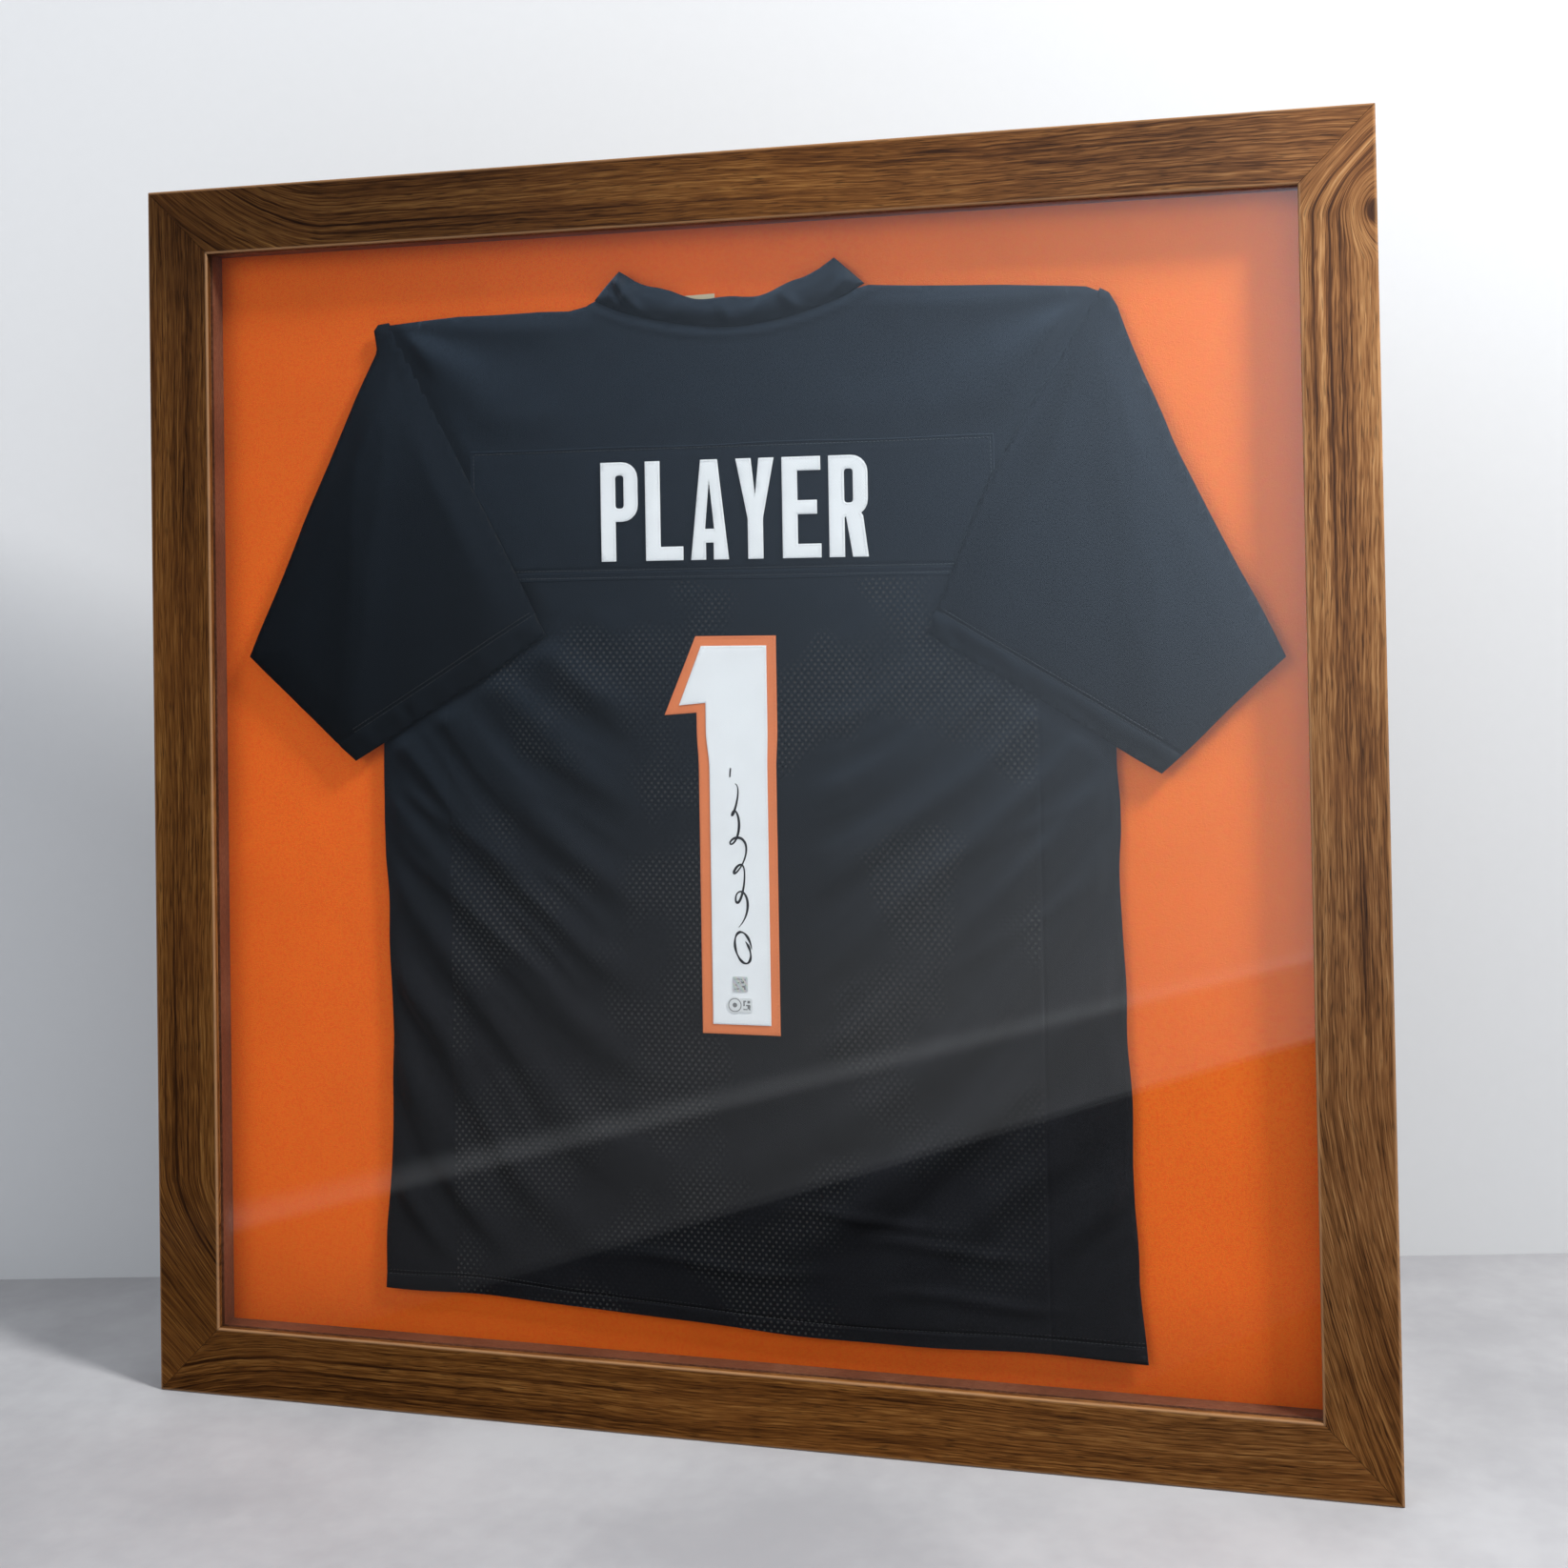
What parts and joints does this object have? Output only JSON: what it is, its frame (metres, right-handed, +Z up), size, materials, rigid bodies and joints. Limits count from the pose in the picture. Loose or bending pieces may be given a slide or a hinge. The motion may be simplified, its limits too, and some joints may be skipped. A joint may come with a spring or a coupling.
{
  "type": "jersey display frame",
  "caption": "Wall-hung walnut shadow box with clear glazing over a dark jersey on an orange fabric board; its back panel is held by turn buttons.",
  "frame": {"origin": "middle of the footprint, at the height of the bottom rail's underside", "axes": "+Z up, the glazed front faces -Y, +X to the right as seen from the front"},
  "size_m": [1.009, 0.044, 1.016],
  "materials": {
    "walnut": "satin oil, straight grain",
    "spacer_walnut": "satin oil",
    "clear_glazing": "polished clear sheet",
    "orange_suede": "matte suede face",
    "mount_board": "matte",
    "hardboard": "smooth matte hardboard",
    "charcoal_knit": "matte knit",
    "charcoal_mesh": "matte perforated mesh knit",
    "form_foam": "matte foam board",
    "white_twill": "twill",
    "orange_twill": "twill",
    "cream_tape": "woven tape",
    "silver_sticker": "satin foil, blank",
    "zinc_steel": "bright zinc plate",
    "rubber": "matte"
  },
  "bodies": {
    "frame": {"rail_top": "walnut", "rail_bottom": "walnut", "rail_left": "walnut", "rail_right": "walnut", "spacer_top": "spacer_walnut", "spacer_bottom": "spacer_walnut", "spacer_left": "spacer_walnut", "spacer_right": "spacer_walnut", "corner_nail_top_left": "zinc_steel", "corner_nail_top_right": "zinc_steel", "corner_nail_bottom_left": "zinc_steel", "corner_nail_bottom_right": "zinc_steel", "button_screw_top_1": "zinc_steel", "button_screw_top_2": "zinc_steel", "button_screw_bottom_1": "zinc_steel", "button_screw_bottom_2": "zinc_steel", "button_screw_left_1": "zinc_steel", "button_screw_left_2": "zinc_steel", "button_screw_right_1": "zinc_steel", "button_screw_right_2": "zinc_steel", "hanger_strap_left": "zinc_steel", "hanger_strap_right": "zinc_steel", "hanger_screw_left_1": "zinc_steel", "hanger_screw_left_2": "zinc_steel", "hanger_screw_right_1": "zinc_steel", "hanger_screw_right_2": "zinc_steel", "name_letter_1": "white_twill", "name_letter_2": "white_twill", "name_letter_3": "white_twill", "name_letter_4": "white_twill", "name_letter_5": "white_twill", "name_letter_6": "white_twill", "number_face": "white_twill", "glazing_sheet": "clear_glazing", "mount_fabric": "orange_suede", "mount_board": "mount_board", "back_panel": "hardboard", "jersey_back_panel": "charcoal_mesh", "jersey_front_panel": "charcoal_knit", "jersey_form_board": "form_foam", "jersey_sleeve_left": "charcoal_knit", "jersey_sleeve_right": "charcoal_knit", "jersey_collar": "charcoal_knit", "neck_label": "cream_tape", "jersey_nameplate": "charcoal_knit", "number_outline": "orange_twill", "sticker_round": "silver_sticker", "sticker_square": "silver_sticker", "wall_bumper_left": "rubber", "wall_bumper_right": "rubber"},
    "turn_button_top_1": {"turn_button_top_1": "zinc_steel"},
    "turn_button_top_2": {"turn_button_top_2": "zinc_steel"},
    "turn_button_bottom_1": {"turn_button_bottom_1": "zinc_steel"},
    "turn_button_bottom_2": {"turn_button_bottom_2": "zinc_steel"},
    "turn_button_left_1": {"turn_button_left_1": "zinc_steel"},
    "turn_button_left_2": {"turn_button_left_2": "zinc_steel"},
    "turn_button_right_1": {"turn_button_right_1": "zinc_steel"},
    "turn_button_right_2": {"turn_button_right_2": "zinc_steel"},
    "d_ring_left": {"d_ring_left": "zinc_steel"},
    "d_ring_right": {"d_ring_right": "zinc_steel"}
  },
  "joints": [
    {"name": "turn_button_top_1_pivot", "type": "hinge", "parent": "frame", "child": "turn_button_top_1", "pos_m": [-0.3, 0.0169, 0.976], "axis": [0, 1, 0], "continuous": true},
    {"name": "turn_button_top_2_pivot", "type": "hinge", "parent": "frame", "child": "turn_button_top_2", "pos_m": [0.3, 0.0169, 0.976], "axis": [0, 1, 0], "continuous": true},
    {"name": "turn_button_bottom_1_pivot", "type": "hinge", "parent": "frame", "child": "turn_button_bottom_1", "pos_m": [-0.3, 0.0169, 0.04], "axis": [0, 1, 0], "continuous": true},
    {"name": "turn_button_bottom_2_pivot", "type": "hinge", "parent": "frame", "child": "turn_button_bottom_2", "pos_m": [0.3, 0.0169, 0.04], "axis": [0, 1, 0], "continuous": true},
    {"name": "turn_button_left_1_pivot", "type": "hinge", "parent": "frame", "child": "turn_button_left_1", "pos_m": [-0.4645, 0.0169, 0.178], "axis": [0, 1, 0], "continuous": true},
    {"name": "turn_button_left_2_pivot", "type": "hinge", "parent": "frame", "child": "turn_button_left_2", "pos_m": [-0.4645, 0.0169, 0.838], "axis": [0, 1, 0], "continuous": true},
    {"name": "turn_button_right_1_pivot", "type": "hinge", "parent": "frame", "child": "turn_button_right_1", "pos_m": [0.4645, 0.0169, 0.178], "axis": [0, 1, 0], "continuous": true},
    {"name": "turn_button_right_2_pivot", "type": "hinge", "parent": "frame", "child": "turn_button_right_2", "pos_m": [0.4645, 0.0169, 0.838], "axis": [0, 1, 0], "continuous": true},
    {"name": "d_ring_left_swing", "type": "hinge", "parent": "frame", "child": "d_ring_left", "pos_m": [-0.4805, 0.01885, 0.762], "axis": [-1, 0, 0], "range_deg": [0, 170]},
    {"name": "d_ring_right_swing", "type": "hinge", "parent": "frame", "child": "d_ring_right", "pos_m": [0.4805, 0.01885, 0.762], "axis": [-1, 0, 0], "range_deg": [0, 170]}
  ]
}
